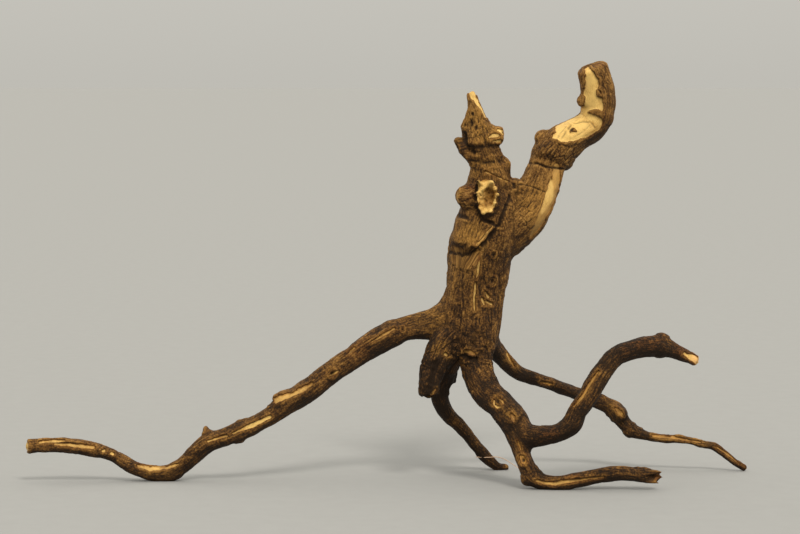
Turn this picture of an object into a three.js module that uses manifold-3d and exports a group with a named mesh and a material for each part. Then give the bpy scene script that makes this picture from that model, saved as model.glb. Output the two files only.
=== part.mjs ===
// A dry shrub root: one grown piece of wood that stands on four of its roots.
// Units are millimetres, +Z is up, +X runs to the right and +Y away from the viewer.
// The origin is on the floor, under the middle of the root.
import * as THREE from "three";
import { mergeVertices } from "three/addons/utils/BufferGeometryUtils.js";
import Module from "manifold-3d";

// Limbs. Each station is a point of the limb's axis and the radius there: [x, y, z, radius].
// A limb starts inside the wood that it grows from and ends at its own tip.
const TRUNK = [
  [62, 3, 103, 18], [64, 3, 118, 22.5], [67, 4, 140, 22.5], [68, 5, 158, 23], [71, 6, 178, 25],
  [74, 6, 193, 25.5], [77, 5, 207, 24.5], [78, 3, 222, 22], [79, 1, 237, 19], [79, -1, 249, 14],
];
const CROWN = [
  [77, 1, 237, 18], [79, -1, 252, 15.5], [77.5, -3, 264, 13.2], [75, -5, 274, 12.4], [72, -6, 284, 14],
  [70, -7, 293, 12.2], [68.5, -8, 301, 9], [67.5, -9, 309, 6.6], [65.8, -9, 317, 4.7], [64.6, -9, 324.5, 3.2],
];
const HOOK = [
  [86, 7, 194, 15], [98, 8, 209, 18], [113, 11, 225, 16.8], [121.5, 15, 242, 15.4], [126, 18, 255, 14.8],
  [129, 20, 263, 15], [132, 21, 270, 17], [141, 23, 279.5, 17], [154, 26, 287.5, 14.2],
  [168, 27, 296.5, 13.8], [172, 26, 309, 14.2], [170.5, 23, 322, 14.6], [167, 20, 335, 13.4],
  [162, 17, 347, 12.4],
];
const FORK_WEB = [[84, 5, 205, 17], [95, 5, 228, 13], [101, 5, 243, 9], [104, 6, 251, 5]];
const LEFT_ROOT = [
  [61, 3, 136, 14], [44, 2, 132, 13.5], [29, 0, 129, 11], [12, -3, 126.5, 9.5], [-4, -6, 121, 10.8],
  [-21, -9, 112.5, 10.3], [-36, -12, 101.5, 9.4], [-53, -14, 90, 10], [-68, -16, 78, 10],
  [-85, -17, 67, 8.8], [-102, -18, 55.5, 7.6], [-119, -18, 46, 7.1], [-136, -17, 38.5, 6.9],
  [-153, -16, 32.5, 7.2], [-164, -14, 23.5, 7], [-175, -12, 14, 6.7], [-186, -11, 7, 7.2],
  [-199, -11, 6.4, 6.8], [-212, -12, 9.8, 6.3], [-224, -13, 16, 5.8], [-236, -15, 23.2, 5.6],
  [-253, -18, 28, 5.9], [-276, -21, 31.3, 5.5], [-303, -24, 30.5, 5.3],
];
const LEFT_FLARE = [[62, 3, 150, 15], [50, 3, 143, 11], [38, 1, 135, 8], [24, -1, 129, 5]];
const BACK_ROOT = [
  [49, 9, 106, 9.5], [40, 16, 85, 8.2], [39, 22, 67, 7.2], [46.5, 29, 50, 6.4], [58.5, 36, 36.8, 5.8],
  [69, 43, 23.8, 5.5], [78, 48, 13, 5.2], [88.5, 52, 3.6, 4.3], [98.5, 54, 1.6, 2.6],
];
const FRONT_ROOT = [
  [67, -3, 117, 16.5], [69, -9, 99, 13], [72, -16, 87, 12.4], [78, -24, 75, 12], [89, -32, 66, 11.2],
  [99, -39, 55, 10.4], [105, -44, 46, 8.4],
];
const FOOT = [
  [97, -38, 56, 7.6], [102, -43, 42, 7.8], [105.5, -48, 29, 6.9], [109.5, -53, 18, 7.2],
  [114.5, -55, 9.8, 6.9], [124, -56, 5.6, 6.2], [138, -57, 5.4, 6.1], [153, -58, 8.5, 5.7],
  [169, -59, 12, 5.6], [186, -60, 13.2, 5.6], [201, -61, 12.7, 5.4], [209, -61, 12, 4.9],
];
const RAISED_ROOT = [
  [95, -37, 59, 8.2], [108, -46, 44, 9], [123, -52, 43.8, 8], [135, -56, 46.6, 7.5], [145, -57, 53, 8.3],
  [150.5, -57, 63.3, 7.7], [158, -56, 75, 8.2], [164.5, -54, 86.7, 8.3], [172.5, -51, 98.5, 8.3],
  [182, -47, 108.7, 8.2], [195, -43, 113.4, 7.8], [208, -40, 115.4, 8.2], [220, -37, 115.2, 7.8],
  [230.8, -35, 111.4, 5.8], [242, -33, 106.5, 4.6], [251, -32, 102.3, 3.8],
];
const RIGHT_ROOT = [
  [76, 11, 121, 11], [84, 19, 109, 9], [93.5, 28, 97, 7], [103.5, 36, 87, 6.3], [117.5, 43, 80.3, 5.7],
  [134, 50, 74.5, 5.9], [151, 55, 67.4, 5.5], [168, 58, 61.3, 5.5], [182, 60, 55.5, 6.3],
  [191.7, 61, 49.6, 7.1], [198.3, 60, 39.5, 5.9], [205.4, 58, 32.5, 5.3], [217, 55, 28.8, 3.8],
  [232, 51, 26.6, 3.8], [247, 48, 26.5, 3.5], [262, 46, 23.4, 3.4], [273, 46, 21.3, 3.2],
  [283, 45, 14.9, 3.2], [293, 45, 6.6, 3.2], [302, 45, 1.8, 3.2],
];
const BROKEN_STUB = [
  [53, -5, 123, 11.5], [41, -11, 110, 12.4], [33, -16, 94, 10.8], [30, -20, 81, 10.2], [29, -22, 71, 9.2],
];
const DARK_STUB = [[52, 15, 111, 8.4], [49, 20, 96, 7.2], [48, 23, 77, 6.4]];

// Knots, thorns and torn stumps, written as short limbs.
const BURL = [[77, 3, 233, 13], [66, -7, 236, 12.5], [58.5, -11, 237, 9.8], [52, -12, 237, 7]];
const COLLAR = [[76, 2, 226, 17], [69, -4, 211, 17.8], [63.5, -8, 193, 16.6]];
const TORN_STUMPS = [
  [[77, 3, 239, 10], [78, -11, 241, 9.4], [78, -24, 242, 8.4]],
  [[78, 3, 229, 10], [79, -11, 228.5, 9], [79, -25, 228, 7.8]],
];
const KNOTS = [
  [[74, -3, 287, 8.3], [83, -7, 290, 7.4], [91, -9, 291, 5.4]], // right side of the crown
  [[70, -3, 290, 7.5], [61, -7, 294, 5.4], [56, -8, 295, 3.8]], // left side of the crown
  [[69, -2, 273, 6.6], [60, -5, 278, 4.2], [51, -7, 285, 3]], // thorn under the crown
  [[82, 1, 257, 8.3], [92, 0, 263, 5.8], [97, 0, 265, 3.6]], // knob on the neck
  [[135, 23, 275, 11], [127, 22, 283, 7.6], [120.5, 21, 289, 4.4]], // knuckle of the hook, upper corner
  [[133, 23, 271, 11.7], [142, 25, 265, 8], [150, 26, 261, 4]], // knuckle of the hook, lower corner
  [[166, 21, 316, 8.4], [159, 18, 316, 5.4], [153.5, 17, 315, 3.4]], // bark left inside the hook
  [[-84, -15, 70, 5.8], [-92, -18, 69, 5.4], [-99, -19, 67, 3.4]], // knob on the left root
  [[-149, -14, 36, 5], [-154, -13, 40, 3.4], [-156, -13, 46.5, 1.5]], // thorn on the left root
  [[114, -53, 12, 5.7], [109, -55, 8, 4.3], [105.5, -55, 5.6, 2.8]], // heel of the foot
  [[101, -37, 54, 5.8], [98, -47, 57, 4.2], [97, -51, 59, 2.5]], // knee of the foot
  [[203, -59, 14.4, 4.3], [211, -59, 13, 2.9], [219, -59, 12.4, 1.3]], // upper splinter of the foot
  [[201, -60, 11.4, 4.3], [209, -61, 9, 2.8], [215.5, -61, 7.6, 1.5]], // lower splinter of the foot
  [[218, -35, 115, 6.2], [220, -35, 120, 4.8], [222, -35, 125.5, 3]], // nub on the raised root
  [[191, 59, 49, 6.9], [195, 53, 49, 5.6], [196, 48, 49, 3.4]], // knot on the right root
  [[207, 58, 34, 4.3], [202, 57, 31, 3.4], [199, 56, 29, 2]], // elbow of the right root
  [[52, -3, 119, 9.2], [45, -12, 110, 6.4], [42, -15, 105, 3.6]], // chin under the trunk
  [[67, -7, 113, 7.5], [64, -17, 107, 5.8], [61, -20, 105, 3.4]], // lip above the front root
];

// Hollows in the torn stumps and in the broken stub's end.
const CUP = [
  [78, -29, 248, 3.5], [78, -26, 241, 5.8], [79, -26, 234, 6.2], [79, -27, 227, 5.2], [79, -30, 221, 3],
];
const PITH_HOLE = [[31, -19, 84, 2.5], [30, -21, 74, 5], [29, -23, 64, 7]];

// Shape of a limb's skin: shallow lobes that wind along it, as shares of the radius.
const TWO_LOBES = 0.06;
const THREE_LOBES = 0.045;
const LOBE_WIND = 0.035; // radians for each millimetre of length

// Shape of a limb's ends: how deep they are rounded off, in radii, and where the rings of the
// rounded stretch lie, as shares of its depth from the end.
const WORN_END = 0.7;
const SAWN_END = 0.22;
const END_RINGS = [0.5, 0.15, 0];
const THIN_RING = 0.3; // radius of the last ring at a tip, as a share of the limb's

// Wood swells towards the limbs that fork from it, over about this distance.
const FORK_BLEND = 3;
const SKIN_STEP = 3; // between the points of a limb's axis that distances are taken from

const FLOOR_DEPTH = 40; // of the block that trims the feet flat
const FLOOR_SIDE = 900;

const BARK = new THREE.MeshStandardMaterial({ color: 0x5c4324, roughness: 0.85, metalness: 0 });

const manifold = await Module();
manifold.setup();

// The curve of a limb's axis, and the curve whose x is the limb's radius.
function limbCurves(stations) {
  const places = stations.map(([x, y, z]) => new THREE.Vector3(x, y, z));
  const radii = stations.map(([, , , radius]) => new THREE.Vector3(radius, 0, 0));
  return {
    axis: new THREE.CatmullRomCurve3(places, false, "catmullrom"),
    girth: new THREE.CatmullRomCurve3(radii, false, "catmullrom"),
  };
}

function radiusAt({ axis, girth }, share) {
  return girth.getPoint(axis.getUtoTmapping(share)).x;
}

// Distances along a limb at which it has a ring of vertices, closer together at a rounded end.
function ringDistances(length, step, startDepth, endDepth) {
  const rows = startDepth > 0 ? END_RINGS.map((share) => share * startDepth).reverse() : [];
  const inner = length - startDepth - endDepth;
  const count = Math.max(2, Math.round(inner / step));
  for (let i = 0; i <= count; i++) rows.push(startDepth + (inner * i) / count);
  return rows.concat(END_RINGS.map((share) => length - share * endDepth));
}

// Share of the full radius at a distance from an end that is rounded off over a depth.
function rounding(distance, depth) {
  if (distance >= depth) return 1;
  const missing = 1 - distance / depth;
  return Math.max(THIN_RING, Math.sqrt(1 - missing * missing));
}

// Radius around a limb, as a share of its plain radius.
function lobes(angle, along, phase) {
  const wind = along * LOBE_WIND + phase;
  return 1 + TWO_LOBES * Math.cos(2 * angle + wind) + THREE_LOBES * Math.cos(3 * angle - 2 * wind);
}

// A limb's closed mesh: a cylinder bent along the curve through its stations.
function limbGeometry(stations, shape) {
  const { sides, step, phase = 0, endDepth = WORN_END, startDepth = 0 } = shape;
  const curves = limbCurves(stations);
  const length = curves.axis.getLength();
  const startRound = startDepth * stations[0][3];
  const endRound = endDepth * stations.at(-1)[3];
  const rows = ringDistances(length, step, startRound, endRound);
  const frames = curves.axis.computeFrenetFrames(Math.ceil(length), false);
  const geometry = new THREE.CylinderGeometry(1, 1, 1, sides, rows.length - 1);
  const position = geometry.attributes.position;
  for (let i = 0; i < position.count; i++) {
    const [across, up, aside] = [position.getX(i), position.getY(i), position.getZ(i)];
    const along = rows[Math.round((0.5 - up) * (rows.length - 1))];
    const share = along / length;
    const ends = rounding(length - along, endRound) * rounding(along, startRound);
    const radius = radiusAt(curves, share) * lobes(Math.atan2(aside, across), along, phase) * ends;
    const nearest = Math.round(share * (frames.normals.length - 1));
    const place = curves.axis.getPointAt(share)
      .addScaledVector(frames.normals[nearest], across * radius)
      .addScaledVector(frames.binormals[nearest], aside * radius);
    position.setXYZ(i, place.x, place.y, place.z);
  }
  return geometry;
}

// A closed geometry as a solid that can be joined and cut.
function solidOf(geometry) {
  geometry.deleteAttribute("normal");
  geometry.deleteAttribute("uv");
  const merged = mergeVertices(geometry);
  return new manifold.Manifold(new manifold.Mesh({
    numProp: 3,
    vertProperties: merged.attributes.position.array,
    triVerts: merged.index.array,
  }));
}

// Points of a limb's axis with their radii, for measuring how far a place lies outside its skin.
function skinPoints(stations) {
  const curves = limbCurves(stations);
  const count = Math.ceil(curves.axis.getLength() / SKIN_STEP);
  const points = [];
  for (let i = 0; i <= count; i++) {
    const share = i / count;
    points.push({ place: curves.axis.getPointAt(share), radius: radiusAt(curves, share) });
  }
  return points;
}

// How far a place lies outside the skin of a limb.
function outside(place, skin) {
  return Math.min(...skin.map((point) => place.distanceTo(point.place) - point.radius));
}

// How far a limb's skin swells at a place near other limbs. It doesn't swell deep inside them.
function swelling(place, others) {
  const distances = others.map((skin) => outside(place, skin));
  const depth = Math.min(0, ...distances);
  const pull = distances.reduce((sum, distance) => sum + Math.exp(-Math.max(0, distance) / FORK_BLEND), 0);
  return FORK_BLEND * Math.log(1 + pull) * Math.exp(depth / FORK_BLEND);
}

// Moves a limb's vertices away from its axis where other limbs fork from it.
function swellForks(geometry, own, others) {
  const position = geometry.attributes.position;
  for (let i = 0; i < position.count; i++) {
    const place = new THREE.Vector3().fromBufferAttribute(position, i);
    const nearest = own.reduce((best, point) => (
      place.distanceTo(point.place) < place.distanceTo(best.place) ? point : best
    ));
    const out = place.clone().sub(nearest.place).normalize();
    place.addScaledVector(out, swelling(place, others));
    position.setXYZ(i, place.x, place.y, place.z);
  }
}

// All limbs joined into one solid. Each limb is given as its stations and its shape.
function joinLimbs(limbs) {
  const skins = limbs.map(([stations]) => skinPoints(stations));
  const solids = limbs.map(([stations, shape], i) => {
    const geometry = limbGeometry(stations, shape);
    swellForks(geometry, skins[i], skins.filter((skin) => skin !== skins[i]));
    return solidOf(geometry);
  });
  return solids.reduce((joined, next) => joined.add(next));
}

// A solid's surface as flat-shaded faces, each with its own normal.
function surfaceOf(solid) {
  const mesh = solid.getMesh();
  const geometry = new THREE.BufferGeometry();
  geometry.setAttribute("position", new THREE.BufferAttribute(mesh.vertProperties, 3));
  geometry.setIndex(new THREE.BufferAttribute(mesh.triVerts, 1));
  const flat = geometry.toNonIndexed();
  flat.computeVertexNormals();
  return flat;
}

// The block under the floor, which leaves a small flat spot where each foot stands.
function floorBlock() {
  const block = new THREE.BoxGeometry(FLOOR_SIDE, FLOOR_SIDE, FLOOR_DEPTH);
  return solidOf(block.translate(0, 0, -FLOOR_DEPTH / 2));
}

function dryRoot() {
  const wood = joinLimbs([
    [TRUNK, { sides: 20, step: 8, phase: 0.4, startDepth: 0.6 }],
    [CROWN, { sides: 13, step: 6, phase: 1.2 }],
    [HOOK, { sides: 15, step: 7, phase: 2.1, endDepth: SAWN_END }],
    [FORK_WEB, { sides: 11, step: 8, phase: 0.7 }],
    [LEFT_ROOT, { sides: 11, step: 7.5, phase: 0.9, endDepth: SAWN_END }],
    [LEFT_FLARE, { sides: 10, step: 8, phase: 2.2 }],
    [BACK_ROOT, { sides: 9, step: 7.5, phase: 3.3 }],
    [FRONT_ROOT, { sides: 13, step: 7, phase: 4.2 }],
    [FOOT, { sides: 10, step: 7, phase: 5.1 }],
    [RAISED_ROOT, { sides: 11, step: 7, phase: 1.7, endDepth: SAWN_END }],
    [RIGHT_ROOT, { sides: 9, step: 7.5, phase: 2.6 }],
    [BROKEN_STUB, { sides: 12, step: 7, phase: 3.8, endDepth: SAWN_END }],
    [DARK_STUB, { sides: 9, step: 8, phase: 0.2, endDepth: SAWN_END }],
    [BURL, { sides: 12, step: 6, phase: 2.9 }],
    [COLLAR, { sides: 14, step: 7, phase: 0.5, endDepth: SAWN_END }],
    ...TORN_STUMPS.map((stations, i) => [stations, { sides: 12, step: 6, phase: i, endDepth: SAWN_END }]),
    ...KNOTS.map((stations, i) => [stations, { sides: 8, step: 6, phase: i }]),
  ]);
  const hollows = [
    solidOf(limbGeometry(CUP, { sides: 12, step: 4 })),
    solidOf(limbGeometry(PITH_HOLE, { sides: 10, step: 5 })),
    floorBlock(),
  ];
  return hollows.reduce((rest, hollow) => rest.subtract(hollow), wood);
}

const root = new THREE.Mesh(surfaceOf(dryRoot()), BARK);
root.name = "dry_root";

const part = new THREE.Group();
part.add(root);

export default part;
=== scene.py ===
"""A dry shrub root on a pale floor: bark, peeled wood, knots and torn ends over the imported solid."""
import math
from collections import namedtuple

import bpy
import numpy as np
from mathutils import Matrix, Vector


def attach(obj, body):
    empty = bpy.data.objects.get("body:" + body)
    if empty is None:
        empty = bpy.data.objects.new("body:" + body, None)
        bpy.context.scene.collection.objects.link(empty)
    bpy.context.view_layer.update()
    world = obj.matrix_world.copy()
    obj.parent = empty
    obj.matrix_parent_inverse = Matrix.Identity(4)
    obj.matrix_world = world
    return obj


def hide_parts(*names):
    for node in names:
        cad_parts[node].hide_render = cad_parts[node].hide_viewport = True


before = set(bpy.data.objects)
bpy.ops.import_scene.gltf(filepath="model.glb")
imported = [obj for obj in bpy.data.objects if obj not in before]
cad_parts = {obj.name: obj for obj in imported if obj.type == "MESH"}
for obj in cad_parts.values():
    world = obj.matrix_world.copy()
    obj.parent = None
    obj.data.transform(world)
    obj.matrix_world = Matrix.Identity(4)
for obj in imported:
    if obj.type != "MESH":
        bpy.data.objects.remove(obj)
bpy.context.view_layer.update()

MM = 0.001  # metres in a millimetre: the limbs and marks below are in millimetres

# Limbs, as in the solid. Each station is a point of the limb's axis and the radius there: x, y, z, radius.
TRUNK = [
    (62, 3, 103, 18), (64, 3, 118, 22.5), (67, 4, 140, 22.5), (68, 5, 158, 23), (71, 6, 178, 25),
    (74, 6, 193, 25.5), (77, 5, 207, 24.5), (78, 3, 222, 22), (79, 1, 237, 19), (79, -1, 249, 14),
]
CROWN = [
    (77, 1, 237, 18), (79, -1, 252, 15.5), (77.5, -3, 264, 13.2), (75, -5, 274, 12.4), (72, -6, 284, 14),
    (70, -7, 293, 12.2), (68.5, -8, 301, 9), (67.5, -9, 309, 6.6), (65.8, -9, 317, 4.1),
    (64.9, -9, 324.5, 2.8),
]
HOOK = [
    (86, 7, 194, 15), (98, 8, 209, 19), (113, 11, 225, 18.2), (121.5, 15, 242, 16.2), (126, 18, 255, 15),
    (129, 20, 263, 15), (132, 21, 270, 17), (141, 23, 279.5, 17.3), (154, 26, 287.5, 14.8),
    (168, 27, 296.5, 14.2), (172, 26, 309, 14.7), (171.5, 23, 321.5, 14.4), (168.4, 20, 334, 13),
    (164.4, 17.5, 345.5, 12.2),
]
FORK_WEB = [(84, 5, 205, 17), (95, 5, 228, 13), (101, 5, 243, 9), (104, 6, 251, 5)]
LEFT_ROOT = [
    (61, 3, 136, 14), (44, 2, 132, 13.5), (29, 0, 129, 11), (12, -3, 126.5, 9.5), (-4, -6, 121, 10.8),
    (-21, -9, 112.5, 10.3), (-36, -12, 101.5, 9.4), (-53, -14, 90, 10), (-68, -16, 78, 10),
    (-85, -17, 67, 8.8), (-102, -18, 55.5, 7.6), (-119, -18, 46, 7.1), (-136, -17, 38.5, 6.9),
    (-153, -16, 32.5, 7.2), (-164, -14, 23.5, 7), (-175, -12, 14, 6.7), (-186, -11, 7, 7.2),
    (-199, -11, 6.4, 6.8), (-212, -12, 9.8, 6.3), (-224, -13, 16, 5.8), (-236, -15, 23.2, 5.6),
    (-253, -18, 28, 5.9), (-276, -21, 31.3, 5.5), (-303, -24, 30.5, 5.3),
]
LEFT_FLARE = [(62, 3, 150, 15), (50, 3, 143, 11), (38, 1, 135, 8), (24, -1, 129, 5)]
BACK_ROOT = [
    (49, 9, 106, 9.5), (40, 16, 85, 8.2), (39, 22, 67, 7.2), (46.5, 29, 50, 6.4), (58.5, 36, 36.8, 5.8),
    (69, 43, 23.8, 5.5), (78, 48, 13, 5.2), (88.5, 52, 3.6, 4.3), (98.5, 54, 1.6, 2.6),
]
FRONT_ROOT = [
    (67, -3, 117, 16.5), (69, -9, 99, 13), (72, -16, 87, 12.4), (78, -24, 75, 12), (89, -32, 66, 11.2),
    (99, -39, 55, 10.4), (105, -44, 46, 8.4),
]
FOOT = [
    (97, -38, 56, 7.6), (102, -43, 42, 7.8), (105.5, -48, 29, 6.9), (109.5, -53, 18, 7.2),
    (114.5, -55, 9.8, 6.9), (124, -56, 5.6, 6.2), (138, -57, 5.4, 6.1), (153, -58, 8.5, 5.7),
    (169, -59, 12, 5.6), (186, -60, 13.2, 5.6), (201, -61, 12.7, 5.4), (209, -61, 12, 4.9),
]
RAISED_ROOT = [
    (95, -37, 59, 8.2), (108, -46, 44, 9), (123, -52, 43.8, 8), (135, -56, 46.6, 7.5), (145, -57, 53, 8.3),
    (150.5, -57, 63.3, 7.7), (158, -56, 75, 8.2), (164.5, -54, 86.7, 8.3), (172.5, -51, 98.5, 8.3),
    (182, -47, 108.7, 8.2), (195, -43, 113.4, 7.8), (208, -40, 115.4, 8.2), (220, -37, 115.2, 7.8),
    (230.8, -35, 111.4, 5.8), (242, -33, 106.5, 4.6), (251, -32, 102.3, 3.8),
]
RIGHT_ROOT = [
    (76, 11, 121, 11), (84, 19, 109, 9), (93.5, 28, 97, 7), (103.5, 36, 87, 6.3), (117.5, 43, 80.3, 5.7),
    (134, 50, 74.5, 5.9), (151, 55, 67.4, 5.5), (168, 58, 61.3, 5.5), (182, 60, 55.5, 6.3),
    (191.7, 61, 49.6, 7.1), (198.3, 60, 39.5, 5.9), (205.4, 58, 32.5, 5.3), (217, 55, 28.8, 3.8),
    (232, 51, 26.6, 3.8), (247, 48, 26.5, 3.5), (262, 46, 23.4, 3.4), (273, 46, 21.3, 3.2),
    (283, 45, 14.9, 3.2), (293, 45, 6.6, 3.2), (302, 45, 1.8, 3.2),
]
BROKEN_STUB = [
    (53, -5, 123, 11.5), (41, -11, 110, 12.4), (33.5, -16, 94, 10.8), (30.5, -20, 81, 9.2),
    (28, -22, 71, 6.8),
]
DARK_STUB = [(52, 15, 111, 8.4), (47.5, 20, 96, 7.2), (45.8, 23, 77.5, 6.4)]
BURL = [(77, 3, 233, 13), (66, -7, 236, 12.5), (58.5, -11, 237, 9.8), (52, -12, 237, 7)]
COLLAR = [(76, 2, 226, 17), (68, -4.5, 211, 17.4), (61.5, -9, 192.5, 14.6)]
TORN_STUMPS = [
    [(77, 3, 239, 10), (77.5, -11, 240.5, 9.2), (77.5, -23, 241, 8.2)],
    [(77, 3, 229, 10), (77, -11, 229.5, 8.2), (76.5, -23, 229.5, 6.6)],
]
KNOTS = [
    [(74, -3, 286, 8.3), (83, -7, 288, 7.2), (91.5, -9, 288, 5.4)],  # right side of the crown
    [(70, -3, 290, 7.5), (61, -7, 294, 5.4), (56, -8, 295, 3.8)],  # left side of the crown
    [(67, -8, 269, 6.4), (58.5, -11, 276, 4.8), (51.5, -12, 286, 3.6)],  # thorn under the crown
    [(82, 1, 257, 8.3), (92, 0, 263, 5.8), (97, 0, 265, 3.6)],  # knob on the neck
    [(88, 1, 263, 6), (92, 1, 257, 4.8), (92.5, 2, 248, 4.6)],  # ridge below the knob
    [(71, -4, 259, 6), (68, -5, 252, 5.6), (66.4, -5, 246, 5.8)],  # left side of the neck
    [(-125, -17, 42, 4), (-127, -18, 37, 2.6), (-128, -19, 33.5, 1.5)],  # broken bit under the left root
    [(-126, -15, 45, 4.5), (-124, -14, 51.5, 2.4)],  # bump on the left root
    [(135, 23, 275, 11), (127, 22, 283, 7.6), (120.5, 21, 289, 4.4)],  # knuckle of the hook, upper corner
    [(133, 23, 271, 11.7), (142, 25, 265, 8), (150, 26, 261, 4)],  # knuckle of the hook, lower corner
    [(166, 21, 316, 8.4), (159, 18, 316, 5.4), (153.5, 17, 315, 3.4)],  # bark left inside the hook
    [(-84, -15, 70, 5.8), (-92, -18, 69, 5.4), (-99, -19, 67, 3.4)],  # knob on the left root
    [(-149, -14, 36, 5), (-154, -13, 40, 3.4), (-156, -13, 46.5, 1.5)],  # thorn on the left root
    [(114, -53, 12, 5.7), (109, -55, 8, 4.3), (105.5, -55, 5.6, 2.8)],  # heel of the foot
    [(101, -37, 54, 5.8), (98, -47, 57, 4.2), (97, -51, 59, 2.5)],  # knee of the foot
    [(203, -59, 14.4, 4.3), (211, -59, 13, 2.9), (219, -59, 12.4, 1.3)],  # upper splinter of the foot
    [(201, -60, 11.4, 4.3), (209, -61, 9, 2.8), (215.5, -61, 7.6, 1.5)],  # lower splinter of the foot
    [(218, -35, 115, 6.2), (220, -35, 120, 4.8), (222, -35, 125.5, 3)],  # nub on the raised root
    [(191, 59, 49, 6.9), (195, 53, 49, 5.6), (196, 48, 49, 3.4)],  # knot on the right root
    [(207, 58, 34, 4.3), (202, 57, 31, 3.4), (199, 56, 29, 2)],  # elbow of the right root
    [(52, -3, 119, 9.2), (45, -12, 110, 6.4), (42, -15, 105, 3.6)],  # chin under the trunk
    [(67, -7, 113, 7.5), (64, -17, 107, 5.8), (61, -20, 105, 3.4)],  # lip above the front root
]
CUP = [
    (78, -28, 247, 2.6), (79, -23, 241, 4.8), (78.5, -21.5, 235, 5), (77, -23.5, 229, 3.6),
    (76, -28, 224.5, 1.8),
]
PITH_HOLE = [(31, -19, 84, 2.5), (30, -21, 74, 5), (29, -23, 64, 7)]

# How a limb's skin is lobed and its ends rounded, as in the solid.
TWO_LOBES = 0.06
THREE_LOBES = 0.045
LOBE_WIND = 0.035
WORN_END = 0.7
SAWN_END = 0.22
THIN_RING = 0.3

# The limbs that have bark of their own. A limb's heights, in millimetres, are those of its bark's fine
# fibres, broad strands and plates; its blend is how far it fills the forks that it makes, and its tone how
# much lighter its bark is than the trunk's: painted light and shade, lighter on the limbs up high and
# darker on the low roots and stubs.
Barked = namedtuple("Barked", "name stations phase end blend fibre strand plate tone")
BARKED = [
    Barked("trunk", TRUNK, 0.4, WORN_END, 2.4, 0.50, 0.80, 0.45, 0.012),
    Barked("crown", CROWN, 1.2, WORN_END, 1.2, 0.35, 0.60, 0.30, 0.045),
    Barked("hook", HOOK, 2.1, SAWN_END, 1.0, 0.35, 0.45, 0.30, 0.08),
    Barked("left_root", LEFT_ROOT, 0.9, SAWN_END, 3.2, 0.34, 0.50, 0.20, -0.02),
    Barked("back_root", BACK_ROOT, 3.3, WORN_END, 3.0, 0.28, 0.45, 0.18, -0.1),
    Barked("front_root", FRONT_ROOT, 4.2, WORN_END, 3.0, 0.34, 0.55, 0.35, -0.085),
    Barked("foot", FOOT, 5.1, WORN_END, 2.4, 0.30, 0.50, 0.18, -0.06),
    Barked("raised_root", RAISED_ROOT, 1.7, SAWN_END, 2.4, 0.32, 0.50, 0.20, -0.095),
    Barked("right_root", RIGHT_ROOT, 2.6, WORN_END, 3.0, 0.26, 0.42, 0.16, -0.08),
    Barked("broken_stub", BROKEN_STUB, 3.8, SAWN_END, 1.6, 0.45, 0.80, 0.60, -0.15),
    Barked("dark_stub", DARK_STUB, 0.2, SAWN_END, 1.6, 0.40, 0.70, 0.40, -0.28),
    Barked("burl", BURL, 2.9, WORN_END, 0.8, 0.25, 0.40, 0.40, 0.05),
    Barked("collar", COLLAR, 0.5, SAWN_END, 0.5, 0.25, 0.45, 0.20, 0.055),
    Barked("stump_upper", TORN_STUMPS[0], 0.0, SAWN_END, 0.7, 0.30, 0.40, 0.20, 0.02),
    Barked("stump_lower", TORN_STUMPS[1], 1.0, SAWN_END, 0.7, 0.30, 0.40, 0.20, 0.0),
]
KNOT_BLEND = 0.9
SHARD_BLEND = 0.4

# Shards of torn wood round the cup and at the foot's tip: two stations each.
SHARDS = [
    [(71, -14, 245, 3.6), (69.5, -31, 250.5, 1.2)],
    [(75.5, -14, 244, 2.6), (76, -22, 245, 1.2)],
    [(80, -14, 246, 2.8), (81.5, -31, 250, 1.0)],
    [(83.5, -14, 243, 2.6), (84.5, -26, 244, 1.2)],
    [(85, -14, 238, 2.4), (86, -28, 239, 0.9)],
    [(83.5, -14, 232, 2.4), (84, -25, 231.5, 1.1)],
    [(80, -14, 227, 2.6), (80.5, -26, 225, 1.2)],
    [(75, -14, 226, 2.6), (74, -28, 224, 1.0)],
    [(72.5, -14, 228, 3.0), (71.5, -27, 226.5, 1.4)],
    [(70.5, -14, 233, 3.4), (69, -30, 233, 1.6)],
    [(70, -14, 239, 3.6), (68, -29, 240, 2.0)],
    [(203, -63, 13.5, 2.2), (218, -64, 15.5, 0.8)],
    [(204, -58, 10, 2.0), (215, -57.5, 10, 0.8)],
    [(203, -61, 9, 2.0), (213, -62, 6.2, 0.8)],
]

# Mesh and relief sizes, in millimetres.
SKETCH_VOXEL = 1.1
FINE_VOXEL = 0.8
MOST_FACES = 196000
BARK_DEPTH = 0.8
LIMB_APART = 200.0  # keeps one limb's bark pattern away from the next one's
FINE_ROUNDS = 4  # edges over which a small hollow is felt
BROAD_ROUNDS = 24  # the same for a wide one

# Where the bark is craggy, and where it is wrinkled across: x, y, z, reach, height.
CRAGGY = [
    (60, -12, 116, 34, 1.0), (136, 14, 275, 24, 0.6), (104, -2, 224, 22, 0.45), (72, -16, 102, 20, 0.7),
    (36, -18, 104, 22, 0.6), (70, -12, 288, 22, 0.35), (60, 24, 118, 30, 0.9), (138, 34, 274, 22, 0.9),
    (64, -14, 236, 14, 0.5), (66, -20, 206, 18, 0.25), (72, 6, 290, 18, 0.7), (80, 20, 232, 26, 0.7),
    (46, -8, 129, 15, 0.7),
]
WRINKLED = [
    (74, -18, 103, 22, 0.9), (76, -12, 266, 17, 0.9), (78, -14, 151, 13, 0.8), (66, -14, 222, 16, 0.8),
    (86, -16, 214, 16, 0.6), (76, 22, 200, 26, 0.5), (110, -4, 232, 16, 0.4), (78, 14, 264, 18, 0.8),
]

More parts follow.
